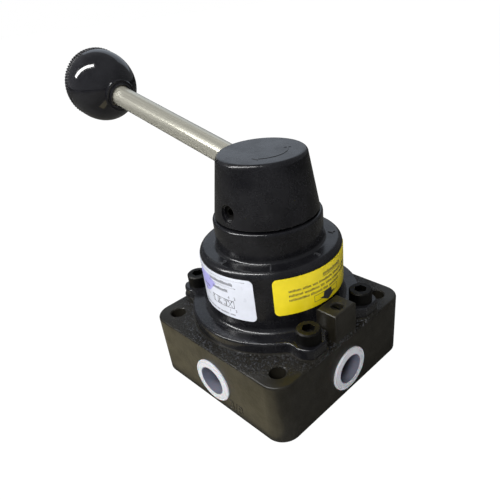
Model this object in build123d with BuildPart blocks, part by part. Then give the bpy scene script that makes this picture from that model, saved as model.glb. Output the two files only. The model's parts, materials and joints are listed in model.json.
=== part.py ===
"""Hand lever air valve with a rotary disc, four ports and three lever positions.

Millimetres. Z up, origin at the centre of the base underside, on the rotor axis.
The supply port faces +X, the lever points to -X when centred.
"""
from build123d import *
from math import asin, atan2, cos, degrees, radians, sin
import os

os.makedirs("parts", exist_ok=True)

# Base
BASE_X, BASE_Y, BASE_H = 84.0, 86.0, 31.0
BASE_CORNER_R = 8.6
MOUNT_X, MOUNT_Y, MOUNT_R = 66.0, 68.0, 3.5
BOSS_TOP = 33.5
PORT_Z, PORT_R, PORT_DEPTH = 13.8, 7.6, 16.0
PASSAGE_R, VERTICAL_R, PORT_CIRCLE = 4.5, 4.0, 15.0
RECESS_R, RECESS_Z = 26.0, 29.5
PORT_CHAMFER, PASSAGE_OVERRUN = 0.9, 2.0
PORT_SEAL_R, FIT, TOUCH = 5.4, 0.05, 0.01
SEAL_POCKET_R, SEAL_POCKET_DEPTH = 6.4, 1.5
O_RING_R, O_RING_GROOVE_R0, O_RING_GROOVE_R1, O_RING_GROOVE_DEPTH = 29.8, 28.6, 31.0, 1.9
SEAT_PIN_R, SEAT_PIN_CIRCLE, SEAT_PIN_DEPTH, SEAT_PIN_LENGTH = 1.5, 21.5, 4.0, 6.5
SEAT_PIN_ANGLES = (45, 225)
TAP_DEPTH, THREAD_LENGTH = 17.0, 14.0
TOP_ROUND, BOTTOM_CHAMFER, MOUNT_CHAMFER = 0.9, 0.6, 0.45

# Pad beside the supply port
PAD_Y0, PAD_Y1, PAD_X0, PAD_TOP = -8.3, 5.1, 32.0, 46.4
PAD_HOLE_R, PAD_HOLE_X, PAD_HOLE_DEPTH, PAD_ROUND, PAD_PLUG_H = 2.5, 37.5, 8.1, 0.8, 7.0
PAD_MID_Y = (PAD_Y0 + PAD_Y1) / 2

# Bonnet
FLANGE_R, FLANGE_TOP, LUG_R = 39.0, 38.2, 7.3
LUG_BLEND, LUG_CUT, BOSS_GROW = 5.0, 0.3, 0.6
NOTCH_GAP, NOTCH_SIDE_GAP, NOTCH_REACH = 0.3, 0.6, 50.0
SCREW_X, SCREW_Y, SCREW_R, HEAD_R, HEAD_H = 35.5, 17.5, 3.0, 5.1, 5.8
SOCKET_R, SOCKET_DEPTH, SCREW_CLEARANCE = 2.9, 3.0, 0.3
CYL_R, SHOULDER_Z = 31.3, 66.3
FOOT_ROUND, SHOULDER_ROUND, NECK_ROUND, NECK_FOOT_ROUND = 2.1, 2.7, 1.1, 1.5
NECK_R, NECK_TOP = 23.45, 79.1
CEILING_Z, SEAL_Z = 52.0, 66.0
BUSH_R, SEAL_R, SPACER_Z, WIPER_Z = 9.0, 11.0, 71.5, 76.0

# Rotor
SHAFT_R, SHAFT_TOP = 7.0, 99.5
RUN_FIT = 0.03
DRIVER_R, DRIVER_BOTTOM, DRIVER_TOP = 24.0, 45.5, 50.5
DISC_R, DISC_BOTTOM, DISC_TOP = 24.0, 33.55, 41.5
PILOT_R, PILOT_BOTTOM = 6.0, 37.0
DRIVE_PIN_R, DRIVE_CIRCLE, DRIVE_ANGLES = 2.5, 15.5, (0, 180)
DRIVE_PIN_BOTTOM, DISC_SOCKET_DEPTH, DISC_CHAMFER = 37.2, 4.6, 0.8
WASHER_R, WASHER_BORE_GAP = 12.5, 0.1
SPRING_R0, SPRING_R1, SPRING_T = 6.4, 12.0, 0.9
LANE_MIDDLES, LANE_HALF, LANE_WIDTH, LANE_DEPTH = (45, 225), 26, 6.4, 3.2
SHAFT_CHAMFER, FLAT_DEPTH, FLAT_HEIGHT = 1.0, 1.5, 8.0
SWING = 45.0
STOP_R, STOP_CIRCLE, STOP_GAP, NOTCH_R, STOP_DEPTH = 2.0, 21.8, 0.3, 19.5, 7.0

# Detents
BALL_R, BALL_CIRCLE, BALL_GAP, BALL_TRAVEL = 3.0, 16.0, 0.05, 0.5
BALL_Z = DRIVER_TOP + BALL_GAP + BALL_R
DETENT_TOP = 63.5
COIL_R, WIRE_R, COIL_TURNS, COIL_SEAT = 2.0, 0.35, 4, 2.75

# Handle
CAP_BOTTOM, CAP_TOP, CAP_R0, CAP_R1 = 79.6, 104.8, 22.4, 18.4
GRUB_Z, GRUB_R, GRUB_LENGTH, GRUB_SOCKET_R, GRUB_SOCKET_DEPTH = 85.5, 3.0, 14.0, 1.7, 3.5
SPOT_R, SPOT_AT, CAP_ROUND, CAP_CHAMFER, CAP_BORE_GAP = 3.7, 20.2, 1.9, 0.6, 0.3
ROD_Z, ROD_RISE, ROD_R = 94.65, 12.8, 5.0
ROD_START, ROD_END = 10.0, 119.0
KNOB_AT, KNOB_R = 120.4, 17.4
KNOB_NECK_R, KNOB_NECK_H, KNOB_FACE, KNOB_POCKET_R, KNOB_POCKET = 7.75, 8.0, 9.5, 12.4, 1.0
END_CAP_R, END_CAP_T = 12.3, 1.3
INSERT_R, INSERT_FROM, INSERT_TO = 6.25, 102.4, 125.0

# Plugs
PLUG_FLANGE_R, PLUG_FLANGE_T, PLUG_WALL, PLUG_LENGTH = 10.5, 0.9, 0.7, 11.0
PLUG_ROUND, PLUG_END = 0.4, 1.2
PLUG_SKIRT_R = PORT_R - 0.1

# Labels
LABEL_T, LABEL_CORNER = 0.25, 2.2

SIDES = ((BASE_X / 2, 0), (BASE_Y / 2, 90), (BASE_X / 2, 180), (BASE_Y / 2, 270))
SCREWS = [(x, y) for x in (-SCREW_X, SCREW_X) for y in (-SCREW_Y, SCREW_Y)]


def save(piece, name):
    piece.part.label = name
    export_step(piece.part, "parts/" + name + ".step")


def around(radius, angle):
    return (radius * cos(radians(angle)), radius * sin(radians(angle)))


def side_plane(reach, angle):
    """Plane on a side face, its normal pointing out of the part."""
    x, y = around(reach, angle)
    return Plane(origin=(x, y, PORT_Z), x_dir=(-sin(radians(angle)), cos(radians(angle)), 0),
                 z_dir=(cos(radians(angle)), sin(radians(angle)), 0))


def flange_outline(grow=0.0):
    """Round flange with a lug at each screw, cut flush with the sides of the base."""
    with BuildSketch() as outline:
        Circle(FLANGE_R + grow)
        with Locations(*SCREWS):
            Circle(LUG_R + grow)
        corners = [v for v in outline.vertices() if abs(v.Y) > 5]
        fillet(corners, LUG_BLEND)
        Rectangle(BASE_X - 2 * LUG_CUT + grow, BASE_Y, mode=Mode.INTERSECT)
    return outline.sketch


def ring_edges(piece, radius, height):
    """Round edges of one radius about the rotor axis, at one height."""
    rings = piece.edges().filter_by(GeomType.CIRCLE)
    return [e for e in rings if abs(e.radius - radius) < 0.01 and abs(e.center().Z - height) < 0.01]


def rod_plane(distance):
    """Plane square to the lever rod, at a distance from the rotor axis."""
    run, rise = cos(radians(ROD_RISE)), sin(radians(ROD_RISE))
    return Plane(origin=(-distance * run, 0, ROD_Z + distance * rise), x_dir=(0, 1, 0),
                 z_dir=(-run, 0, rise))


# Base body with its pad, ports and passages
with BuildPart() as body_block:
    with BuildSketch():
        RectangleRounded(BASE_X, BASE_Y, BASE_CORNER_R)
    extrude(amount=BASE_H)
    fillet(body_block.faces().sort_by(Axis.Z)[-1].edges(), TOP_ROUND)
    chamfer(body_block.faces().sort_by(Axis.Z)[0].edges(), BOTTOM_CHAMFER)
    with BuildSketch(Plane.XY.offset(BASE_H - 1)):
        add(flange_outline(BOSS_GROW))
    extrude(amount=BOSS_TOP - BASE_H + 1)
    with BuildSketch(Plane.XY.offset(BASE_H - 2)):
        with Locations(((PAD_X0 + BASE_X / 2) / 2, PAD_MID_Y)):
            Rectangle(BASE_X / 2 - PAD_X0, PAD_Y1 - PAD_Y0)
    extrude(amount=PAD_TOP - BASE_H + 2)
    fillet(body_block.faces().sort_by(Axis.Z)[-1].edges(), PAD_ROUND)
    with Locations((PAD_HOLE_X, PAD_MID_Y, PAD_TOP)):
        CounterSinkHole(PAD_HOLE_R, PAD_HOLE_R + 0.4, depth=PAD_HOLE_DEPTH)
    with BuildSketch(Plane.XY.offset(BOSS_TOP)):
        Circle(RECESS_R)
    extrude(amount=RECESS_Z - BOSS_TOP, mode=Mode.SUBTRACT)
    with BuildSketch(Plane.XY.offset(BOSS_TOP)):
        Circle(O_RING_GROOVE_R1)
        Circle(O_RING_GROOVE_R0, mode=Mode.SUBTRACT)
    extrude(amount=-O_RING_GROOVE_DEPTH, mode=Mode.SUBTRACT)
    for reach, angle in SIDES:
        with BuildSketch(side_plane(reach, angle)):
            Circle(PORT_R)
        extrude(amount=-PORT_DEPTH, mode=Mode.SUBTRACT)
        with Locations(side_plane(reach - PORT_CHAMFER / 2, angle).location):
            Cone(PORT_R, PORT_R + PORT_CHAMFER, PORT_CHAMFER, mode=Mode.SUBTRACT)
        with BuildSketch(side_plane(reach - PORT_DEPTH, angle)):
            Circle(PASSAGE_R)
        extrude(amount=-(reach - PORT_DEPTH - PORT_CIRCLE + PASSAGE_OVERRUN), mode=Mode.SUBTRACT)
        with BuildSketch(Plane.XY.offset(PORT_Z)):
            with Locations(around(PORT_CIRCLE, angle)):
                Circle(VERTICAL_R)
        extrude(amount=RECESS_Z - PORT_Z, mode=Mode.SUBTRACT)
        with BuildSketch(Plane.XY.offset(RECESS_Z)):
            with Locations(around(PORT_CIRCLE, angle)):
                Circle(SEAL_POCKET_R)
        extrude(amount=-SEAL_POCKET_DEPTH, mode=Mode.SUBTRACT)
    with Locations(*[(x, y, BOSS_TOP) for x, y in SCREWS]):
        Hole(SCREW_R, depth=TAP_DEPTH)
    with Locations(*[(x * MOUNT_X / 2, y * MOUNT_Y / 2, BASE_H) for x in (-1, 1) for y in (-1, 1)]):
        CounterSinkHole(MOUNT_R, MOUNT_R + MOUNT_CHAMFER, counter_sink_angle=90)
    with Locations(*[(*around(SEAT_PIN_CIRCLE, a), RECESS_Z) for a in SEAT_PIN_ANGLES]):
        Hole(SEAT_PIN_R, depth=SEAT_PIN_DEPTH)
save(body_block, "body_block")

with BuildPart() as pad_plug:
    with Locations((PAD_HOLE_X, PAD_MID_Y, PAD_TOP - PAD_HOLE_DEPTH)):
        Cylinder(PAD_HOLE_R, PAD_PLUG_H, align=(Align.CENTER, Align.CENTER, Align.MIN))
    with Locations((PAD_HOLE_X, PAD_MID_Y, PAD_TOP - PAD_HOLE_DEPTH + PAD_PLUG_H)):
        Box(2 * PAD_HOLE_R, 0.9, 2.4, mode=Mode.SUBTRACT)
save(pad_plug, "pad_plug")

# Bonnet: flange, cylinder, neck and the bores of the rotor
with BuildPart() as bonnet:
    with BuildSketch(Plane.XY.offset(BOSS_TOP)):
        add(flange_outline())
    extrude(amount=FLANGE_TOP - BOSS_TOP)
    fillet(bonnet.faces().sort_by(Axis.Z)[-1].edges(), TOP_ROUND)
    with BuildSketch(Plane.XY.offset(BOSS_TOP)):
        Circle(CYL_R)
    extrude(amount=SHOULDER_Z - BOSS_TOP)
    fillet(ring_edges(bonnet, CYL_R, FLANGE_TOP), FOOT_ROUND)
    with Locations(((PAD_X0 - NOTCH_GAP + NOTCH_REACH) / 2, PAD_MID_Y, FLANGE_TOP)):
        Box(NOTCH_REACH - PAD_X0 + NOTCH_GAP, PAD_Y1 - PAD_Y0 + 2 * NOTCH_SIDE_GAP, 20, mode=Mode.SUBTRACT)
    with BuildSketch(Plane.XY.offset(SHOULDER_Z - 1)):
        Circle(NECK_R)
    extrude(amount=NECK_TOP - SHOULDER_Z + 1)
    fillet(ring_edges(bonnet, CYL_R, SHOULDER_Z), SHOULDER_ROUND)
    fillet(ring_edges(bonnet, NECK_R, NECK_TOP), NECK_ROUND)
    fillet(ring_edges(bonnet, NECK_R, SHOULDER_Z), NECK_FOOT_ROUND)
    with BuildSketch(Plane.XY.offset(BOSS_TOP)):
        Circle(RECESS_R)
    extrude(amount=CEILING_Z - BOSS_TOP, mode=Mode.SUBTRACT)
    with BuildSketch(Plane.XY.offset(CEILING_Z)):
        Circle(BUSH_R)
    extrude(amount=SEAL_Z - CEILING_Z, mode=Mode.SUBTRACT)
    with BuildSketch(Plane.XY.offset(SEAL_Z)):
        Circle(SEAL_R)
    extrude(amount=NECK_TOP - SEAL_Z, mode=Mode.SUBTRACT)
    with BuildSketch(Plane.XY.offset(CEILING_Z)):
        with Locations(*[around(BALL_CIRCLE, a) for a in (90, 270)]):
            Circle(BALL_R + BALL_GAP)
    extrude(amount=DETENT_TOP - CEILING_Z, mode=Mode.SUBTRACT)
    with BuildSketch(Plane.XY.offset(CEILING_Z)):
        with Locations((STOP_CIRCLE, 0)):
            Circle(STOP_R)
    extrude(amount=STOP_DEPTH, mode=Mode.SUBTRACT)
    with Locations(*[(x, y, FLANGE_TOP) for x, y in SCREWS]):
        Hole(SCREW_R + SCREW_CLEARANCE, depth=FLANGE_TOP - BOSS_TOP)
save(bonnet, "bonnet")

with BuildPart() as stop_pin:
    with BuildSketch(Plane.XY.offset(DRIVER_BOTTOM + 2 * STOP_GAP)):
        with Locations((STOP_CIRCLE, 0)):
            Circle(STOP_R)
    extrude(amount=CEILING_Z + STOP_DEPTH - DRIVER_BOTTOM - 2 * STOP_GAP)
save(stop_pin, "stop_pin")

with BuildPart() as bonnet_screws:
    with BuildSketch(Plane.XY.offset(FLANGE_TOP)):
        with Locations(*SCREWS):
            Circle(HEAD_R)
    extrude(amount=HEAD_H)
    chamfer(bonnet_screws.faces().group_by(Axis.Z)[-1].edges(), 0.5)
    with BuildSketch(Plane.XY.offset(FLANGE_TOP)):
        with Locations(*SCREWS):
            Circle(SCREW_R)
    extrude(amount=-(FLANGE_TOP - BOSS_TOP + THREAD_LENGTH))
    with BuildSketch(Plane.XY.offset(FLANGE_TOP + HEAD_H)):
        with Locations(*SCREWS):
            RegularPolygon(SOCKET_R, 6)
    extrude(amount=-SOCKET_DEPTH, mode=Mode.SUBTRACT)
save(bonnet_screws, "bonnet_screws")

with BuildPart() as bonnet_o_ring:
    with Locations((0, 0, BOSS_TOP - O_RING_GROOVE_DEPTH / 2)):
        Torus(O_RING_R, O_RING_GROOVE_DEPTH / 2 - TOUCH)
save(bonnet_o_ring, "bonnet_o_ring")

with BuildPart() as port_seals:
    with Locations(*[(*around(PORT_CIRCLE, a), RECESS_Z - SEAL_POCKET_DEPTH / 2) for _, a in SIDES]):
        Torus(PORT_SEAL_R, SEAL_POCKET_DEPTH / 2 - TOUCH)
save(port_seals, "port_seals")

with BuildPart() as seat_pins:
    with Locations(*[(*around(SEAT_PIN_CIRCLE, a), RECESS_Z - SEAT_PIN_DEPTH) for a in SEAT_PIN_ANGLES]):
        Cylinder(SEAT_PIN_R, SEAT_PIN_LENGTH, align=(Align.CENTER, Align.CENTER, Align.MIN))
save(seat_pins, "seat_pins")

with BuildPart() as seat_plate:
    with BuildSketch(Plane.XY.offset(RECESS_Z)):
        Circle(RECESS_R - FIT)
        with Locations(*[around(PORT_CIRCLE, a) for _, a in SIDES]):
            Circle(VERTICAL_R, mode=Mode.SUBTRACT)
        with Locations(*[around(SEAT_PIN_CIRCLE, a) for a in SEAT_PIN_ANGLES]):
            Circle(SEAT_PIN_R + FIT, mode=Mode.SUBTRACT)
    extrude(amount=BOSS_TOP - RECESS_Z)
save(seat_plate, "seat_plate")

with BuildPart() as shaft_bush:
    with BuildSketch(Plane.XY.offset(CEILING_Z)):
        Circle(BUSH_R)
        Circle(SHAFT_R + RUN_FIT, mode=Mode.SUBTRACT)
    extrude(amount=SEAL_Z - CEILING_Z)
save(shaft_bush, "shaft_bush")


def shaft_ring(name, low, high, inner, chamfered):
    """Ring in the seal bore of the neck, round the shaft."""
    with BuildPart() as ring:
        with BuildSketch(Plane.XY.offset(low)):
            Circle(SEAL_R)
            Circle(inner, mode=Mode.SUBTRACT)
        extrude(amount=high - low)
        inner_edges = ring.edges().filter_by(GeomType.CIRCLE).group_by(SortBy.RADIUS)[0]
        chamfer(inner_edges, chamfered)
    save(ring, name)


shaft_ring("shaft_seal", SEAL_Z, SPACER_Z, SHAFT_R + FIT, 1.2)
shaft_ring("seal_spacer", SPACER_Z, WIPER_Z, SHAFT_R + 0.4, 0.4)
shaft_ring("neck_wiper", WIPER_Z, NECK_TOP, SHAFT_R + FIT, 0.8)


def wrap_label(name, start, sweep, low, high):
    """Thin label wrapped on the bonnet cylinder."""
    with BuildPart() as label:
        with BuildSketch(Plane.XZ):
            with Locations((CYL_R + LABEL_T / 2, (low + high) / 2)):
                Rectangle(LABEL_T, high - low)
        revolve(axis=Axis.Z, revolution_arc=sweep)
        short = [e for e in label.edges() if e.length < LABEL_T * 1.2]
        fillet(short, LABEL_CORNER)
    label.part = label.part.rotate(Axis.Z, start)
    return label


LABELS = (("name_label", -151, -59, 43.6, 63.4), ("supply_label", -45, 45, 46.4, 63.4))
for name, start, end, low, high in LABELS:
    label = wrap_label(name, start, end - start, low, high)
    turned = degrees(atan2(label.part.center().Y, label.part.center().X))
    label.part = label.part.rotate(Axis.Z, (start + end) / 2 - turned)
    save(label, name)

# Rotor: shaft with its driver plate, pins, springs and valve disc
with BuildPart() as rotor_shaft:
    with BuildSketch(Plane.XY.offset(DRIVER_BOTTOM)):
        Circle(DRIVER_R)
        with BuildSketch(mode=Mode.SUBTRACT):
            reach = SWING + degrees(asin((STOP_R + STOP_GAP) / STOP_CIRCLE))
            with BuildLine():
                Line(around(NOTCH_R, -reach), around(40, -reach))
                Line(around(40, -reach), (60, 0))
                Line((60, 0), around(40, reach))
                Line(around(40, reach), around(NOTCH_R, reach))
                RadiusArc(around(NOTCH_R, reach), around(NOTCH_R, -reach), NOTCH_R)
            make_face()
        with Locations(*[around(DRIVE_CIRCLE, a) for a in DRIVE_ANGLES]):
            Circle(DRIVE_PIN_R, mode=Mode.SUBTRACT)
    extrude(amount=DRIVER_TOP - DRIVER_BOTTOM)
    with BuildSketch(Plane.XY.offset(PILOT_BOTTOM)):
        Circle(PILOT_R)
    extrude(amount=DRIVER_BOTTOM - PILOT_BOTTOM)
    with BuildSketch(Plane.XY.offset(DRIVER_TOP)):
        Circle(SHAFT_R)
    extrude(amount=SHAFT_TOP - DRIVER_TOP)
    chamfer(rotor_shaft.faces().sort_by(Axis.Z)[-1].edges(), SHAFT_CHAMFER)
    dimples = [around(BALL_CIRCLE, a + b) for a in (90, 270) for b in (-SWING, 0, SWING)]
    with Locations(*[(x, y, BALL_Z - BALL_TRAVEL) for x, y in dimples]):
        Sphere(BALL_R + BALL_GAP, mode=Mode.SUBTRACT)
    with Locations((0, FLAT_DEPTH - SHAFT_R, GRUB_Z)):
        Box(2 * SHAFT_R, 2 * SHAFT_R, FLAT_HEIGHT, mode=Mode.SUBTRACT,
            align=(Align.CENTER, Align.MAX, Align.CENTER))
save(rotor_shaft, "rotor_shaft")

with BuildPart() as thrust_washer:
    with BuildSketch(Plane.XY.offset(DRIVER_TOP)):
        Circle(WASHER_R)
        Circle(SHAFT_R + WASHER_BORE_GAP, mode=Mode.SUBTRACT)
    extrude(amount=CEILING_Z - DRIVER_TOP - FIT)
save(thrust_washer, "thrust_washer")

with BuildPart() as drive_pins:
    with Locations(*[(*around(DRIVE_CIRCLE, a), DRIVE_PIN_BOTTOM) for a in DRIVE_ANGLES]):
        Cylinder(DRIVE_PIN_R, DRIVER_TOP - DRIVE_PIN_BOTTOM, align=(Align.CENTER, Align.CENTER, Align.MIN))
save(drive_pins, "drive_pins")

with BuildPart() as disc_springs:
    gap = DRIVER_BOTTOM - DISC_TOP
    for low, high in ((DISC_TOP, DISC_TOP + gap / 2), (DRIVER_BOTTOM, DRIVER_BOTTOM - gap / 2)):
        up = 1 if high > low else -1
        with BuildSketch(Plane.XZ):
            with BuildLine():
                Polyline((SPRING_R1, low), (SPRING_R1, low + SPRING_T * up), (SPRING_R0, high),
                         (SPRING_R0, high - SPRING_T * up), (SPRING_R1, low))
            make_face()
        revolve(axis=Axis.Z)
save(disc_springs, "disc_springs")

with BuildPart() as valve_disc:
    with BuildSketch(Plane.XY.offset(DISC_BOTTOM)):
        Circle(DISC_R)
    extrude(amount=DISC_TOP - DISC_BOTTOM)
    chamfer(valve_disc.faces().sort_by(Axis.Z)[-1].edges(), DISC_CHAMFER)
    with BuildSketch(Plane.XY.offset(DISC_BOTTOM)):
        for middle in LANE_MIDDLES:
            lane = Edge.make_circle(PORT_CIRCLE, start_angle=middle - LANE_HALF, end_angle=middle + LANE_HALF)
            SlotArc(lane, LANE_WIDTH)
    extrude(amount=LANE_DEPTH, mode=Mode.SUBTRACT)
    with BuildSketch(Plane.XY.offset(DISC_TOP)):
        Circle(PILOT_R + FIT)
        with Locations(*[around(DRIVE_CIRCLE, a) for a in DRIVE_ANGLES]):
            Circle(DRIVE_PIN_R + FIT)
    extrude(amount=-DISC_SOCKET_DEPTH, mode=Mode.SUBTRACT)
save(valve_disc, "valve_disc")

# Detent balls with their springs
for number, angle in ((1, 90), (2, 270)):
    x, y = around(BALL_CIRCLE, angle)
    with BuildPart() as ball:
        with Locations((x, y, BALL_Z)):
            Sphere(BALL_R)
    save(ball, "detent_ball_" + str(number))
    with BuildPart() as spring:
        coil_low, coil_high = BALL_Z + COIL_SEAT, DETENT_TOP - WIRE_R - FIT
        with BuildLine() as path:
            Helix(pitch=(coil_high - coil_low) / COIL_TURNS, height=coil_high - coil_low, radius=COIL_R,
                  center=(x, y, coil_low))
        with BuildSketch(Plane(origin=path.line @ 0, z_dir=path.line % 0)):
            Circle(WIRE_R)
        sweep(is_frenet=True)
    save(spring, "detent_spring_" + str(number))

# Handle: cap, grub screw, rod and knob
with BuildPart() as handle_cap:
    with BuildSketch(Plane.XZ):
        with BuildLine():
            Polyline((0, CAP_BOTTOM), (CAP_R0, CAP_BOTTOM), (CAP_R1, CAP_TOP), (0, CAP_TOP), (0, CAP_BOTTOM))
        make_face()
    revolve(axis=Axis.Z)
    fillet(handle_cap.faces().sort_by(Axis.Z)[-1].edges(), CAP_ROUND)
    chamfer(handle_cap.faces().sort_by(Axis.Z)[0].edges(), CAP_CHAMFER)
    with BuildSketch(Plane.XY.offset(CAP_BOTTOM)):
        Circle(SHAFT_R + RUN_FIT)
    extrude(amount=SHAFT_TOP + CAP_BORE_GAP - CAP_BOTTOM, mode=Mode.SUBTRACT)
    with BuildSketch(Plane.XZ.offset(SHAFT_R - 2)):
        with Locations((0, GRUB_Z)):
            Circle(GRUB_R)
    extrude(amount=30, mode=Mode.SUBTRACT)
    with BuildSketch(Plane.XZ.offset(SPOT_AT)):
        with Locations((0, GRUB_Z)):
            Circle(SPOT_R)
    extrude(amount=10, mode=Mode.SUBTRACT)
    with BuildSketch(rod_plane(ROD_START)):
        Circle(ROD_R)
    extrude(amount=30, mode=Mode.SUBTRACT)
save(handle_cap, "handle_cap")

with BuildPart() as cap_grub_screw:
    with BuildSketch(Plane.XZ.offset(SHAFT_R - FLAT_DEPTH)):
        with Locations((0, GRUB_Z)):
            Circle(GRUB_R)
    extrude(amount=GRUB_LENGTH)
    with BuildSketch(Plane.XZ.offset(SHAFT_R - FLAT_DEPTH + GRUB_LENGTH)):
        with Locations((0, GRUB_Z)):
            RegularPolygon(GRUB_SOCKET_R, 6)
    extrude(amount=-GRUB_SOCKET_DEPTH, mode=Mode.SUBTRACT)
save(cap_grub_screw, "cap_grub_screw")

with BuildPart() as lever_rod:
    with BuildSketch(rod_plane(ROD_START)):
        Circle(ROD_R)
    extrude(amount=ROD_END - ROD_START)
    chamfer(lever_rod.edges(), 0.6)
save(lever_rod, "lever_rod")

with BuildPart() as knob_insert:
    with BuildSketch(rod_plane(INSERT_FROM)):
        Circle(INSERT_R)
    extrude(amount=INSERT_TO - INSERT_FROM)
    with BuildSketch(rod_plane(INSERT_FROM)):
        Circle(ROD_R)
    extrude(amount=ROD_END - INSERT_FROM, mode=Mode.SUBTRACT)
save(knob_insert, "knob_insert")


def knob_blank():
    """Knob turned round +Z, its centre at the origin and its neck below."""
    with BuildPart() as blank:
        Sphere(KNOB_R)
        with BuildSketch(Plane.XY.offset(-KNOB_R)):
            Circle(KNOB_NECK_R)
        extrude(amount=KNOB_NECK_H)
        with BuildSketch(Plane.XY.offset(INSERT_TO - KNOB_AT)):
            Circle(INSERT_R)
        extrude(amount=-2 * KNOB_R, mode=Mode.SUBTRACT)
        with BuildSketch(Plane.XY.offset(KNOB_FACE)):
            Circle(KNOB_R)
        extrude(amount=KNOB_R, mode=Mode.SUBTRACT)
        with BuildSketch(Plane.XY.offset(KNOB_FACE - KNOB_POCKET)):
            Circle(KNOB_POCKET_R)
        extrude(amount=KNOB_POCKET, mode=Mode.SUBTRACT)
    return blank


knob = knob_blank()
knob.part = rod_plane(KNOB_AT).location * knob.part
save(knob, "knob")

with BuildPart() as knob_end_cap:
    with BuildSketch(rod_plane(KNOB_AT + KNOB_FACE - KNOB_POCKET)):
        Circle(END_CAP_R)
    extrude(amount=END_CAP_T)
    chamfer(knob_end_cap.edges().filter_by(GeomType.CIRCLE), 0.25)
save(knob_end_cap, "knob_end_cap")

# Transport plugs in the four ports
for number, (reach, angle) in enumerate(SIDES, start=1):
    with BuildPart() as plug:
        with BuildSketch(side_plane(reach, angle)):
            Circle(PLUG_FLANGE_R)
        extrude(amount=PLUG_FLANGE_T)
        fillet(plug.faces().sort_by(Axis((0, 0, 0), side_plane(reach, angle).z_dir))[-1].edges(), PLUG_ROUND)
        with BuildSketch(side_plane(reach, angle)):
            Circle(PLUG_SKIRT_R)
        extrude(amount=-PLUG_LENGTH)
        with BuildSketch(side_plane(reach + PLUG_FLANGE_T, angle)):
            Circle(PLUG_SKIRT_R - PLUG_WALL)
        extrude(amount=-(PLUG_LENGTH + PLUG_FLANGE_T - PLUG_END), mode=Mode.SUBTRACT)
    save(plug, "port_plug_" + str(number))
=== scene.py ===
import json
from math import cos, pi, radians, sin

import bmesh
import bpy
from mathutils import Matrix, Vector


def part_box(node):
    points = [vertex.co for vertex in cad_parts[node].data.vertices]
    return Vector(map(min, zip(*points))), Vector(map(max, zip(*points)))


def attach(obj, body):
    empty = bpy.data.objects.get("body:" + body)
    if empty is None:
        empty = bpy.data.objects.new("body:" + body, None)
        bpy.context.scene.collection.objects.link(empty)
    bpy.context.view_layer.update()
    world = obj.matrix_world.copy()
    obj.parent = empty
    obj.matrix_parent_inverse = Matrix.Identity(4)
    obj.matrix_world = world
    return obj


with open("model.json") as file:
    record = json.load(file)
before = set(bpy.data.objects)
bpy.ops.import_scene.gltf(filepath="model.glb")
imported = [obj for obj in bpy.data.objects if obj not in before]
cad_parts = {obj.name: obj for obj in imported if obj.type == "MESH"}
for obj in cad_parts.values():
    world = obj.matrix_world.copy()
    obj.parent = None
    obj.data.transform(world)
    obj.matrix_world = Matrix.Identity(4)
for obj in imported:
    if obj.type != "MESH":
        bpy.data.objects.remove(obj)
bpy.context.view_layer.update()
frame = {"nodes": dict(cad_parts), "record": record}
MM = 0.001
PORT_Z = 13.8 * MM
CYL_R = 31.55 * MM  # outer face of the labels
SHOULDER = 66.3 * MM  # height of the bonnet's shoulder
MARK_CIRCLE = 27.0 * MM
ROD_RISE = radians(12.8)
ROD_FOOT = 94.65 * MM  # height at which the rod's axis meets the valve's axis
KNOB_AT = 120.4 * MM  # centre of the knob, along the rod from its foot
KNURL_RIDGES = 72
NAME_AZIMUTH, NAME_Z = -105, 53.5
SUPPLY_AZIMUTH, SUPPLY_Z = 0, 54.9
ARC_IN, ARC_OUT, ARC_HALF, ARC_TIP = 10.2, 10.9, 50, 64
HEAD_IN, HEAD_OUT = 9.1, 12.0
LENS_MM, SHIFT_X, SHIFT_Y = 34.46352, -0.06054, 0.06454


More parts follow.
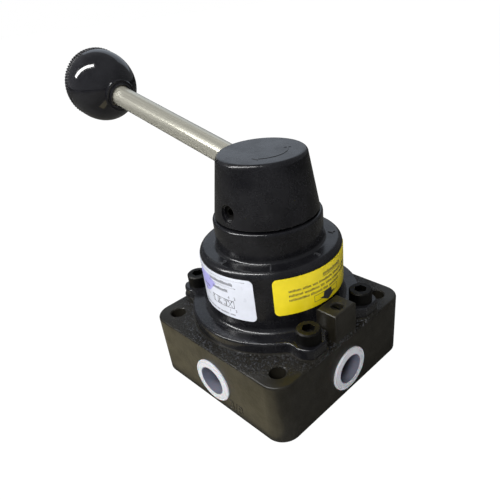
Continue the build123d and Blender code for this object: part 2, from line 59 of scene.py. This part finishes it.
# ---------------------------------------------------------------- materials
class Look:
    """One procedural material, built from object coordinates in metres."""

    def __init__(self, name, color, rough, metal=0.0, coat=0.0, coat_rough=0.1):
        self.mat = bpy.data.materials.new(name)
        self.mat.use_nodes = True
        self.tree = self.mat.node_tree
        self.tree.nodes.clear()
        self.shader = self.node("ShaderNodeBsdfPrincipled")
        out = self.node("ShaderNodeOutputMaterial")
        self.link(self.shader.outputs[0], out.inputs[0])
        self.shader.inputs["Base Color"].default_value = (*color, 1)
        self.shader.inputs["Roughness"].default_value = rough
        self.shader.inputs["Metallic"].default_value = metal
        self.shader.inputs["Coat Weight"].default_value = coat
        self.shader.inputs["Coat Roughness"].default_value = coat_rough
        self.coords = self.node("ShaderNodeTexCoord").outputs["Object"]
        self.color, self.height, self.tilt = color, None, 0.0

    def node(self, kind):
        return self.tree.nodes.new(kind)

    def link(self, a, b):
        self.tree.links.new(a, b)

    def math(self, op, a, b=0.0, c=None):
        n = self.node("ShaderNodeMath")
        n.operation = op
        for i, v in enumerate((a, b, c)):
            if v is None:
                continue
            if isinstance(v, (int, float)):
                n.inputs[i].default_value = v
            else:
                self.link(v, n.inputs[i])
        return n.outputs[0]

    def ramp(self, value, low, high, a=0.0, b=1.0):
        n = self.node("ShaderNodeMapRange")
        n.interpolation_type = "SMOOTHSTEP"
        self.link(value, n.inputs["Value"])
        for key, v in (("From Min", low), ("From Max", high), ("To Min", a), ("To Max", b)):
            n.inputs[key].default_value = v
        return n.outputs[0]

    def noise(self, scale, detail=3.0, rough=0.5, stretch=(1, 1, 1)):
        m = self.node("ShaderNodeMapping")
        m.vector_type = "TEXTURE"
        m.inputs["Rotation"].default_value = (0, self.tilt, 0)
        m.inputs["Scale"].default_value = tuple(1 / s for s in stretch)
        self.link(self.coords, m.inputs[0])
        n = self.node("ShaderNodeTexNoise")
        n.inputs["Scale"].default_value = scale
        n.inputs["Detail"].default_value = detail
        n.inputs["Roughness"].default_value = rough
        self.link(m.outputs[0], n.inputs["Vector"])
        return n.outputs[0]

    def axis(self, which):
        n = self.node("ShaderNodeSeparateXYZ")
        self.link(self.coords, n.inputs[0])
        return n.outputs["XYZ".index(which)]

    def radius(self, a, b, shift_b=0.0):
        u = self.axis(a)
        v = self.math("SUBTRACT", self.axis(b), shift_b)
        squares = self.math("ADD", self.math("MULTIPLY", u, u), self.math("MULTIPLY", v, v))
        return self.math("SQRT", squares)

    def mix(self, factor, a, b):
        n = self.node("ShaderNodeMix")
        n.data_type = "RGBA"
        self.link(factor, n.inputs["Factor"])
        for slot, v in ((6, a), (7, b)):
            if isinstance(v, tuple):
                n.inputs[slot].default_value = (*v, 1)
            else:
                self.link(v, n.inputs[slot])
        return n.outputs[2]

    def tint(self, factor, other):
        source = self.shader.inputs["Base Color"]
        before = source.links[0].from_socket if source.links else self.color
        self.link(self.mix(factor, before, other), source)

    def vary(self, scale, amount, stretch=(1, 1, 1)):
        """Colour patches, towards a colour that is lighter by this share, or darker if it is negative."""
        n = self.ramp(self.noise(scale, 4, 0.6, stretch), 0.35, 0.65)
        self.tint(n, tuple(min(1, c * (1 + amount) + 0.004) for c in self.color))

    def rough_vary(self, scale, low, high, stretch=(1, 1, 1)):
        n = self.ramp(self.noise(scale, 4, 0.6, stretch), 0.3, 0.7, low, high)
        self.link(n, self.shader.inputs["Roughness"])

    def bump(self, value, depth, strength=1.0):
        n = self.node("ShaderNodeBump")
        n.inputs["Distance"].default_value = depth
        n.inputs["Strength"].default_value = strength
        self.link(value, n.inputs["Height"])
        if self.height is not None:
            self.link(self.height, n.inputs["Normal"])
        self.height = n.outputs[0]
        self.link(self.height, self.shader.inputs["Normal"])

    def worn_edges(self, color, width=0.0006, amount=0.5):
        """Edges rubbed brighter, found from the difference of a bevelled and a plain normal."""
        b = self.node("ShaderNodeBevel")
        b.samples = 4
        b.inputs["Radius"].default_value = width
        g = self.node("ShaderNodeNewGeometry")
        d = self.node("ShaderNodeVectorMath")
        d.operation = "DOT_PRODUCT"
        self.link(b.outputs[0], d.inputs[0])
        self.link(g.outputs["Normal"], d.inputs[1])
        edge = self.ramp(d.outputs["Value"], 0.995, 0.93)
        patchy = self.ramp(self.noise(900, 3), 0.35, 0.6)
        self.tint(self.math("MULTIPLY", self.math("MULTIPLY", edge, patchy), amount), color)


def coat(name, color, rough, gloss=0.35):
    look = Look(name, color, rough, coat=gloss, coat_rough=0.1)
    look.vary(60, 0.25)
    look.rough_vary(140, rough - 0.06, rough + 0.08)
    look.bump(look.noise(700, 2), 0.00006)
    look.bump(look.noise(3500, 2), 0.00002)
    look.worn_edges((0.08, 0.078, 0.075), 0.0004, 0.3)
    return look


looks = {}

body = coat("body_coat", (0.0085, 0.0075, 0.005), 0.35, 0.0)
# coarse cast skin round the foot of the boss, on the top face only; the grit's peaks are also lightened
# to bluish grey, a painted sparkle
r = body.radius("X", "Y")
near = body.ramp(r, 0.0515, 0.0405)
low = body.ramp(body.axis("Z"), 0.0335, 0.0325)
high = body.ramp(body.axis("Z"), 0.0300, 0.0306)
side = body.ramp(r, 0.0385, 0.0392)
mask = body.math("MULTIPLY", body.math("MULTIPLY", near, low), body.math("MULTIPLY", high, side))
grit_and_glint = body.math("MULTIPLY", body.ramp(body.noise(1250, 2, 0.6), 0.48, 0.64), mask)
body.bump(grit_and_glint, 0.0014)
# painted sparkle: the grit's peaks are tinted lighter, towards bluish grey
body.tint(body.math("MULTIPLY", grit_and_glint, 0.6), (0.11, 0.115, 0.13))
looks["body_coat"] = body

looks["bonnet_coat"] = coat("bonnet_coat", (0.004, 0.004, 0.0052), 0.24)
looks["handle_coat"] = coat("handle_coat", (0.004, 0.004, 0.0052), 0.26)


def metal(name, color, rough, grain=(1, 1, 1), scale=600, wear=(0.6, 0.6, 0.6)):
    look = Look(name, color, rough, metal=1.0)
    look.vary(120, 0.18)
    look.rough_vary(300, rough - 0.06, rough + 0.1, grain)
    look.bump(look.noise(scale, 3, 0.6, grain), 0.00003)
    look.worn_edges(wear, 0.0003, 0.5)
    return look


looks["black_oxide"] = metal("black_oxide", (0.035, 0.034, 0.033), 0.5, wear=(0.2, 0.195, 0.18))
looks["hard_steel"] = metal("hard_steel", (0.5, 0.5, 0.52), 0.2)
looks["spring_steel"] = metal("spring_steel", (0.33, 0.33, 0.35), 0.3)
looks["shaft_steel"] = metal("shaft_steel", (0.45, 0.45, 0.46), 0.26, (1, 1, 12))
looks["lapped_steel"] = metal("lapped_steel", (0.42, 0.42, 0.44), 0.22)
looks["bush_bronze"] = metal("bush_bronze", (0.5, 0.33, 0.14), 0.38)
looks["spacer_aluminium"] = metal("spacer_aluminium", (0.6, 0.6, 0.61), 0.33, (1, 1, 12))
looks["insert_brass"] = metal("insert_brass", (0.6, 0.45, 0.18), 0.28)

rod = Look("rod_chrome", (0.60, 0.585, 0.50), 0.24, metal=0.62)
rod.tilt = ROD_RISE
along = (0.02, 1, 1)
rod.vary(420, -0.25, along)
rod.rough_vary(700, 0.14, 0.26, along)
rod.bump(rod.noise(900, 2, 0.5, along), 0.000006)
looks["rod_chrome"] = rod

knob = Look("knob_gloss", (0.006, 0.006, 0.0075), 0.11, coat=0.6, coat_rough=0.04)
knob.vary(80, 0.4)
knob.rough_vary(160, 0.08, 0.17)
knob.bump(knob.noise(260, 2), 0.00004)
looks["knob_gloss"] = knob
knurl_black = coat("knurl_black", (0.006, 0.006, 0.0075), 0.42, 0.0)


def matt(name, color, rough, scale=500, depth=0.00004):
    look = Look(name, color, rough)
    look.vary(90, 0.12)
    look.rough_vary(200, rough - 0.06, rough + 0.08)
    look.bump(look.noise(scale, 3), depth)
    return look


looks["seal_rubber"] = matt("seal_rubber", (0.02, 0.02, 0.02), 0.6)
looks["disc_polymer"] = matt("disc_polymer", (0.72, 0.7, 0.62), 0.45)
looks["washer_polymer"] = matt("washer_polymer", (0.78, 0.78, 0.75), 0.5)
white = matt("label_white", (0.52, 0.54, 0.60), 0.33)
looks["label_white"] = white
yellow = matt("label_yellow", (0.66, 0.53, 0.004), 0.35)
looks["label_yellow"] = yellow
ink = matt("label_ink", (0.03, 0.03, 0.035), 0.4)
ink_lilac = matt("label_tint", (0.30, 0.29, 0.58), 0.4)


def plug_look(name, flat_axis):
    look = Look(name, (0.47, 0.48, 0.515), 0.36)
    look.shader.inputs["Subsurface Weight"].default_value = 0.25
    look.shader.inputs["Subsurface Scale"].default_value = 0.002
    look.vary(160, 0.12)
    look.rough_vary(260, 0.28, 0.45)
    look.bump(look.noise(900, 3), 0.00004)
    r = look.radius(flat_axis, "Z", PORT_Z)
    out = look.math("ABSOLUTE", look.axis("X" if flat_axis == "Y" else "Y"))
    # painted shade of the port bore: within 6.9 mm of the port axis the plug is tinted dark bluish grey
    bore_shade = look.ramp(r, 0.0073, 0.0069)
    look.tint(bore_shade, (0.12, 0.125, 0.165))
    # painted shade: deeper inside the port the plug goes near black
    look.tint(look.math("MULTIPLY", bore_shade, look.ramp(out, 0.0412, 0.0355)), (0.008, 0.008, 0.013))
    groove = look.ramp(look.math("ABSOLUTE", look.math("SUBTRACT", r, 0.0094)), 0.0001, 0.0004)
    look.bump(groove, 0.0001)
    return look


plug_x, plug_y = plug_look("plug_clear_x", "Y"), plug_look("plug_clear_y", "X")

for sub in frame["record"]["subparts"]:
    node = frame["nodes"][sub["node"]]
    name = sub["node"]
    if name.startswith("port_plug"):
        look = plug_x if name[-1] in "13" else plug_y
    else:
        look = looks[sub["material_slot"]]
    node.data.materials.clear()
    node.data.materials.append(look.mat)


# ---------------------------------------------------------------- printed and raised marks
def piece(name, verts, faces, look, body):
    mesh = bpy.data.meshes.new(name)
    mesh.from_pydata([tuple(v) for v in verts], [], faces)
    mesh.validate()
    obj = bpy.data.objects.new(name, mesh)
    bpy.context.scene.collection.objects.link(obj)
    bm = bmesh.new()
    bm.from_mesh(mesh)
    bmesh.ops.recalc_face_normals(bm, faces=bm.faces)
    bm.to_mesh(mesh)
    bm.free()
    mesh.materials.append(look.mat)
    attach(obj, body)
    return obj


class Print:
    """Flat artwork in millimetres (across, up), wrapped on the label cylinder at one azimuth."""

    def __init__(self, azimuth, z):
        self.azimuth, self.z, self.verts, self.faces = radians(azimuth), z * MM, [], []

    def point(self, u, v):
        # azimuth grows to the right for a reader outside the cylinder
        a = self.azimuth + u * MM / CYL_R
        return Vector((CYL_R * cos(a), CYL_R * sin(a), self.z + v * MM))

    def solid(self, outline, lift=0.03):
        """Closed outline of (u, v), raised a little from the label."""
        base = len(self.verts)
        n = len(outline)
        for push in (0.0, lift):
            for u, v in outline:
                p = self.point(u, v)
                out = Vector((p.x, p.y, 0)).normalized() * push * MM
                self.verts.append(p + out)
        self.faces.append(tuple(base + n + i for i in range(n)))
        self.faces.append(tuple(base + n - 1 - i for i in range(n)))
        for i in range(n):
            j = (i + 1) % n
            self.faces.append((base + i, base + j, base + n + j, base + n + i))

    def fill(self, outline, lift=0.04, step=0.35):
        """Outline that any upright line crosses once in and once out, laid down in narrow columns."""
        low, high = min(u for u, _ in outline), max(u for u, _ in outline)
        count = max(1, round((high - low) / step))
        width = (high - low) / count

        def span(u):
            cuts = []
            for (a, va), (b, vb) in zip(outline, outline[1:] + outline[:1]):
                if a != b and min(a, b) <= u <= max(a, b):
                    cuts.append(va + (vb - va) * (u - a) / (b - a))
            return min(cuts), max(cuts)

        for i in range(count):
            a, b = low + i * width, low + (i + 1) * width
            va, vb = span(a + width * 0.02), span(b - width * 0.02)
            self.solid([(a, va[0]), (b, vb[0]), (b, vb[1]), (a, va[1])], lift)

    def bar(self, u0, v0, u1, v1):
        steps = max(1, int(abs(u1 - u0) / 1.2))
        low = [(u0 + (u1 - u0) * i / steps, v0) for i in range(steps + 1)]
        top = [(u, v1) for u, _ in reversed(low)]
        self.solid(low + top)

    def box(self, u0, v0, u1, v1, w=0.22):
        self.bar(u0, v0, u1, v0 + w)
        self.bar(u0, v1 - w, u1, v1)
        self.bar(u0, v0 + w, u0 + w, v1 - w)
        self.bar(u1 - w, v0 + w, u1, v1 - w)

    def line(self, u0, v0, u1, v1, w=0.2):
        d = Vector((u1 - u0, v1 - v0)).normalized() * w / 2
        n = Vector((-d.y, d.x))
        low = [(u0 - n.x, v0 - n.y), (u1 - n.x, v1 - n.y)]
        self.solid(low + [(u1 + n.x, v1 + n.y), (u0 + n.x, v0 + n.y)])

    def head(self, u, v, angle, size=0.7):
        pts = [(1, 0), (-0.6, 0.55), (-0.6, -0.55)]
        c, s = cos(radians(angle)), sin(radians(angle))
        self.solid([(u + size * (x * c - y * s), v + size * (x * s + y * c)) for x, y in pts])

    def dashes(self, u0, u1, v, height, words, seed):
        """A row of short bars that stands for a line of small print."""
        total = u1 - u0
        weights = [2 + (seed * (i + 3) * 7) % 5 for i in range(words)]
        gap = 0.7
        room = (total - gap * (words - 1)) / sum(weights)
        u = u0
        for wgt in weights:
            end = u + wgt * room
            x = u
            while x < end - 0.2:
                step = min(0.42, end - x)
                self.bar(x, v, x + step * 0.72, v + height * (0.8 if int(x * 10) % 3 else 1.0))
                x += 0.56
            u = end + gap

    def text(self, body, u, v, size):
        curve = bpy.data.curves.new("t", "FONT")
        curve.body = body
        curve.size = size
        curve.align_x = "CENTER"
        curve.align_y = "CENTER"
        obj = bpy.data.objects.new("t", curve)
        bpy.context.scene.collection.objects.link(obj)
        mesh = bpy.data.meshes.new_from_object(obj)
        base = len(self.verts)
        for vert in mesh.vertices:
            p = self.point(u + vert.co.x, v + vert.co.y)
            self.verts.append(p + Vector((p.x, p.y, 0)).normalized() * 0.03 * MM)
        for poly in mesh.polygons:
            self.faces.append(tuple(base + i for i in poly.vertices))
        bpy.data.objects.remove(obj)

    def make(self, name, look):
        return piece(name, self.verts, self.faces, look, "valve_body")


# white label: rules, a title in bars, numbers and a generic valve diagram
art = Print(NAME_AZIMUTH, NAME_Z)
art.bar(-22, 8.6, 22, 8.75)
art.bar(2.0, 5.0, 17.5, 5.25)
art.dashes(3.0, 16.5, 6.0, 1.5, 1, 3)
art.dashes(4.5, 13.5, 2.4, 1.4, 1, 5)
for numbers, v, size in (("42", 0.0, 2.1), ("13", -6.2, 2.0)):
    for number, u in zip(numbers, (13.4, 16.4)):
        art.text(number, u, v, size)
for u0 in (3.2, 7.4, 11.6):
    art.box(u0, -5.0, u0 + 4.2, -1.2)
art.line(4.1, -4.8, 4.1, -1.6)
art.head(4.1, -1.9, 90)
art.line(6.5, -1.4, 6.5, -4.6)
art.head(6.5, -4.3, -90)
for u in (8.4, 10.6):
    art.line(u, -4.9, u, -4.0)
    art.line(u - 0.5, -4.0, u + 0.5, -4.0)
    art.line(u, -1.3, u, -2.2)
    art.line(u - 0.5, -2.2, u + 0.5, -2.2)
art.line(12.5, -4.8, 14.9, -1.5)
art.head(14.7, -1.8, 54)
art.line(14.9, -4.8, 12.5, -1.5)
art.head(12.7, -1.8, 126)
art.line(3.2, -3.1, -0.5, -3.1)
art.line(-0.5, -3.1, -2.2, -1.2)
art.solid([(-2.6, -1.4), (-1.8, -1.4), (-1.8, -0.6), (-2.6, -0.6)])
art.dashes(-6.5, 16.0, -8.6, 0.8, 5, 4)
art.dashes(-16, -7, -3.2, 1.0, 2, 2)
art.dashes(-16, -7, -5.2, 1.0, 2, 6)
art.dashes(-4.0, 1.6, 0.6, 1.0, 1, 2)
art.make("name_label_print", ink)

tinted = Print(NAME_AZIMUTH, NAME_Z)
tinted.fill([(-9.0, 3.5), (-3.0, -2.6), (1.0, -1.0), (6.5, 4.2), (2.0, 7.0), (-6.0, 7.4)], 0.02)
tinted.bar(-20, 1.5, -11, 7.5)
tinted.make("name_label_tint", ink_lilac)

# yellow label: heading and rows in bars, a frame and an arrow towards the supply port
art = Print(SUPPLY_AZIMUTH, SUPPLY_Z)
art.dashes(-2.5, 9.5, 4.6, 1.5, 1, 3)
art.bar(-2.6, 4.0, 9.6, 4.2)
for row, (end, words) in enumerate(((16.5, 6), (15.0, 6), (8.5, 4))):
    art.dashes(-18.5, end, 1.9 - row * 2.1, 1.15, words, 2 + row)
art.box(-7.5, -6.3, 7.0, -3.2, 0.2)
arrow_shaft = [(-4.6, -5.4), (-2.2, -5.4), (-2.2, -3.2), (2.4, -3.2)]
art.fill(arrow_shaft + [(2.4, -5.4), (4.8, -5.4), (0.1, -8.2)], 0.06)
art.make("supply_label_print", ink)


def raised(name, body_text, size, place, look, body, depth=0.25):
    """Raised numerals: a text curve turned into a closed mesh and placed by a matrix."""
    curve = bpy.data.curves.new(name, "FONT")
    curve.body = body_text
    curve.size = size * MM
    curve.extrude = depth * MM / 2
    curve.bevel_depth = 0.05 * MM
    curve.align_x = "CENTER"
    curve.align_y = "CENTER"
    tmp = bpy.data.objects.new(name + "_c", curve)
    bpy.context.scene.collection.objects.link(tmp)
    mesh = bpy.data.meshes.new_from_object(tmp)
    bpy.data.objects.remove(tmp)
    mesh.transform(place)
    mesh.name = name
    mesh.materials.clear()
    mesh.materials.append(look.mat)
    obj = bpy.data.objects.new(name, mesh)
    bpy.context.scene.collection.objects.link(obj)
    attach(obj, body)
    return obj


rubbed = coat("rubbed_coat", (0.03, 0.031, 0.035), 0.24)
for number, azimuth in (("2", -90), ("1", -45), ("3", 0), ("4", 45)):
    a = radians(azimuth)
    at = Matrix.Translation((MARK_CIRCLE * cos(a), MARK_CIRCLE * sin(a), SHOULDER + 0.05 * MM))
    turn = at @ Matrix.Rotation(a + pi / 2, 4, "Z")
    raised("shoulder_mark_" + number, number, 4.3, turn, rubbed, "valve_body", 0.5)
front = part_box("body_block")[0][1]
turn = Matrix.Translation((13.5 * MM, front - 0.02 * MM, 5.0 * MM)) @ Matrix.Rotation(pi / 2, 4, "X")
raised("base_mark", "3/8", 7.2, turn, looks["body_coat"], "valve_body")


def cap_arrow():
    """Turning arc with two heads, raised a little on the cap top."""
    verts, faces = [], []
    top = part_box("handle_cap")[1][2]
    segments = 24

    def at(radius, angle):
        return radius * cos(angle), radius * sin(angle)

    def plate(outline):
        base, n = len(verts), len(outline)
        for z in (top - 0.05 * MM, top + 0.14 * MM):
            verts.extend((x * MM, y * MM, z) for x, y in outline)
        faces.append(tuple(base + n + i for i in range(n)))
        faces.append(tuple(base + n - 1 - i for i in range(n)))
        for i in range(n):
            k = (i + 1) % n
            faces.append((base + i, base + k, base + n + k, base + n + i))

    steps = [radians(-ARC_HALF + 2 * ARC_HALF * i / segments) for i in range(segments + 1)]
    for a, b in zip(steps, steps[1:]):
        plate([at(ARC_IN, a), at(ARC_OUT, a), at(ARC_OUT, b), at(ARC_IN, b)])
    middle = (ARC_IN + ARC_OUT) / 2
    for s in (-1, 1):
        a, tip = radians(s * ARC_HALF), radians(s * ARC_TIP)
        plate([at(HEAD_IN, a), at(HEAD_OUT, a), at(middle, tip)][::s])
    return piece("cap_turn_arrow", verts, faces, looks["handle_coat"], "lever")


cap_arrow()


# ---------------------------------------------------------------- knurled rim and collar of the knob
def lathe(name, profile, look, ridge=(0.0,), ridged=(), count=96):
    """Ring turned about the rod axis from a closed profile of (distance along the rod, radius).
    The points whose numbers are in ridged rise and fall by the steps of ridge."""
    axis = Vector((-cos(ROD_RISE), 0, sin(ROD_RISE)))
    side = Vector((0, 1, 0))
    up = axis.cross(side)
    foot = Vector((0, 0, ROD_FOOT))
    n = len(profile)
    verts, faces = [], []
    for i in range(count):
        a = 2 * pi * i / count
        ray = side * cos(a) + up * sin(a)
        for j, (s, r) in enumerate(profile):
            grown = r + (ridge[i % len(ridge)] if j in ridged else 0)
            verts.append(foot + axis * s * MM + ray * grown * MM)
    for i in range(count):
        k = (i + 1) % count
        for j in range(n):
            m = (j + 1) % n
            faces.append((i * n + j, i * n + m, k * n + m, k * n + j))
    return piece(name, verts, faces, look, "lever")


rim = [(9.0, 14.0), (9.2, 14.9), (7.4, 15.95), (4.4, 17.0), (3.2, 17.0)]
rim = [(KNOB_AT / MM + s, r) for s, r in rim]
ridge = (-0.35, 0.4, 0.6, 0.4)
lathe("knob_knurl", rim, knurl_black, ridge, (1, 2, 3), KNURL_RIDGES * len(ridge))

mouth = [(102.4, 5.1), (101.9, 5.3), (101.8, 5.9), (102.2, 6.35), (102.9, 6.5), (103.1, 7.2)]
back = [(102.7, 7.6), (103.2, 7.95), (104.2, 7.95), (104.2, 6.2), (103.0, 5.1)]
lathe("knob_collar", mouth + back, looks["knob_gloss"])


# ---------------------------------------------------------------- floor, cards, lights
def plane(name, size, place, look):
    mesh = bpy.data.meshes.new(name)
    w, d = size[0] / 2, size[1] / 2
    mesh.from_pydata([(-w, -d, 0), (w, -d, 0), (w, d, 0), (-w, d, 0)], [], [(0, 1, 2, 3)])
    mesh.materials.append(look)
    obj = bpy.data.objects.new(name, mesh)
    obj.matrix_world = place
    bpy.context.scene.collection.objects.link(obj)
    return obj


def floor_look():
    mat = bpy.data.materials.new("floor_white")
    mat.use_nodes = True
    t = mat.node_tree
    t.nodes.clear()
    diffuse = t.nodes.new("ShaderNodeBsdfDiffuse")
    diffuse.inputs[0].default_value = (0.86, 0.86, 0.86, 1)
    glow = t.nodes.new("ShaderNodeEmission")
    glow.inputs[0].default_value = (1, 1, 1, 1)
    glow.inputs[1].default_value = 1.04
    path = t.nodes.new("ShaderNodeLightPath")
    part = t.nodes.new("ShaderNodeMath")
    part.operation = "MULTIPLY"
    part.inputs[1].default_value = 0.97
    mix = t.nodes.new("ShaderNodeMixShader")
    out = t.nodes.new("ShaderNodeOutputMaterial")
    t.links.new(path.outputs["Is Camera Ray"], part.inputs[0])
    dark = t.nodes.new("ShaderNodeBsdfDiffuse")
    dark.inputs[0].default_value = (0.09, 0.088, 0.08, 1)
    seen = t.nodes.new("ShaderNodeMixShader")
    t.links.new(path.outputs["Is Glossy Ray"], seen.inputs[0])
    t.links.new(diffuse.outputs[0], seen.inputs[1])
    t.links.new(dark.outputs[0], seen.inputs[2])
    t.links.new(part.outputs[0], mix.inputs[0])
    t.links.new(seen.outputs[0], mix.inputs[1])
    t.links.new(glow.outputs[0], mix.inputs[2])
    t.links.new(mix.outputs[0], out.inputs[0])
    return mat


plane("floor", (6, 6), Matrix.Translation((0, 0, 0)), floor_look())

scene = bpy.context.scene
world = bpy.data.worlds.new("studio")
scene.world = world
world.use_nodes = True
wt = world.node_tree
wt.nodes.clear()
bg_cam = wt.nodes.new("ShaderNodeBackground")
bg_cam.inputs[0].default_value = (1, 1, 1, 1)
bg_light = wt.nodes.new("ShaderNodeBackground")
bg_light.inputs[0].default_value = (0.92, 0.95, 1.0, 1)
bg_light.inputs[1].default_value = 0.15
wpath = wt.nodes.new("ShaderNodeLightPath")
wmix = wt.nodes.new("ShaderNodeMixShader")
wout = wt.nodes.new("ShaderNodeOutputWorld")
wt.links.new(wpath.outputs["Is Camera Ray"], wmix.inputs[0])
wt.links.new(bg_light.outputs[0], wmix.inputs[1])
wt.links.new(bg_cam.outputs[0], wmix.inputs[2])
wt.links.new(wmix.outputs[0], wout.inputs[0])


def area(name, at, target, size, power, color=(1, 1, 1)):
    data = bpy.data.lights.new(name, "AREA")
    data.shape = "RECTANGLE"
    data.size, data.size_y = size
    data.energy = power
    data.color = color
    obj = bpy.data.objects.new(name, data)
    obj.location = at
    obj.rotation_euler = (Vector(target) - Vector(at)).to_track_quat("-Z", "Y").to_euler()
    scene.collection.objects.link(obj)
    return obj


area("back_soft", (-0.58, 0.52, 0.46), (0, 0, 0.05), (0.9, 0.5), 0.6, (0.76, 0.86, 1.0))
key = area("key_front", (0.32, -0.52, 0.60), (0, 0, 0.05), (0.3, 0.3), 6.5, (1.0, 0.99, 0.97))
key.visible_glossy = False
strip = area("strip_front", (-0.26, -0.42, 0.70), (-0.08, 0, 0.10), (0.85, 0.10), 6.0)
# the strip's long side runs along the camera's right, so that its highlight lies level in the view
facing = (strip.location - Vector((-0.08, 0, 0.10))).normalized()
level = Vector((0.687, 0.727, 0))
across = (level - level.dot(facing) * facing).normalized()
strip.rotation_euler = Matrix((across, facing.cross(across), facing)).transposed().to_euler()


def card(name, low, high, color, strength):
    """Glowing card on the floor that only reflections see."""
    mat = bpy.data.materials.new(name)
    mat.use_nodes = True
    t = mat.node_tree
    t.nodes.clear()
    glow = t.nodes.new("ShaderNodeEmission")
    glow.inputs[0].default_value = (*color, 1)
    glow.inputs[1].default_value = strength
    out = t.nodes.new("ShaderNodeOutputMaterial")
    t.links.new(glow.outputs[0], out.inputs[0])
    size = (high[0] - low[0], high[1] - low[1])
    middle = ((low[0] + high[0]) / 2, (low[1] + high[1]) / 2, 0.0004)
    obj = plane(name, size, Matrix.Translation(middle), mat)
    obj.visible_camera = False
    obj.visible_diffuse = False
    obj.visible_shadow = False
    return obj


card("warm_card", (-0.085, -0.082), (0.046, -0.0445), (0.95, 0.84, 0.55), 0.66)

# ---------------------------------------------------------------- camera
AZ, EL, ROLL, DIST = radians(46.6162), radians(32.3707), radians(-5.615), 0.22297
forward = Vector((-sin(AZ) * cos(EL), cos(AZ) * cos(EL), -sin(EL)))
eye = Vector((1.05 * MM, 2.36 * MM, 42 * MM)) - forward * DIST
right = forward.cross(Vector((0, 0, 1))).normalized()
up = right.cross(forward)
turned = cos(ROLL) * right + sin(ROLL) * up
upright = -sin(ROLL) * right + cos(ROLL) * up
cam_data = bpy.data.cameras.new("camera")
cam_data.sensor_width = 36
cam_data.lens = LENS_MM
cam_data.shift_x = SHIFT_X
cam_data.shift_y = SHIFT_Y
cam_data.clip_start = 0.01
camera = bpy.data.objects.new("camera", cam_data)
camera.matrix_world = Matrix((
    (turned.x, upright.x, -forward.x, eye.x),
    (turned.y, upright.y, -forward.y, eye.y),
    (turned.z, upright.z, -forward.z, eye.z),
    (0, 0, 0, 1)))
scene.collection.objects.link(camera)
scene.camera = camera
scene.view_settings.view_transform = "Standard"
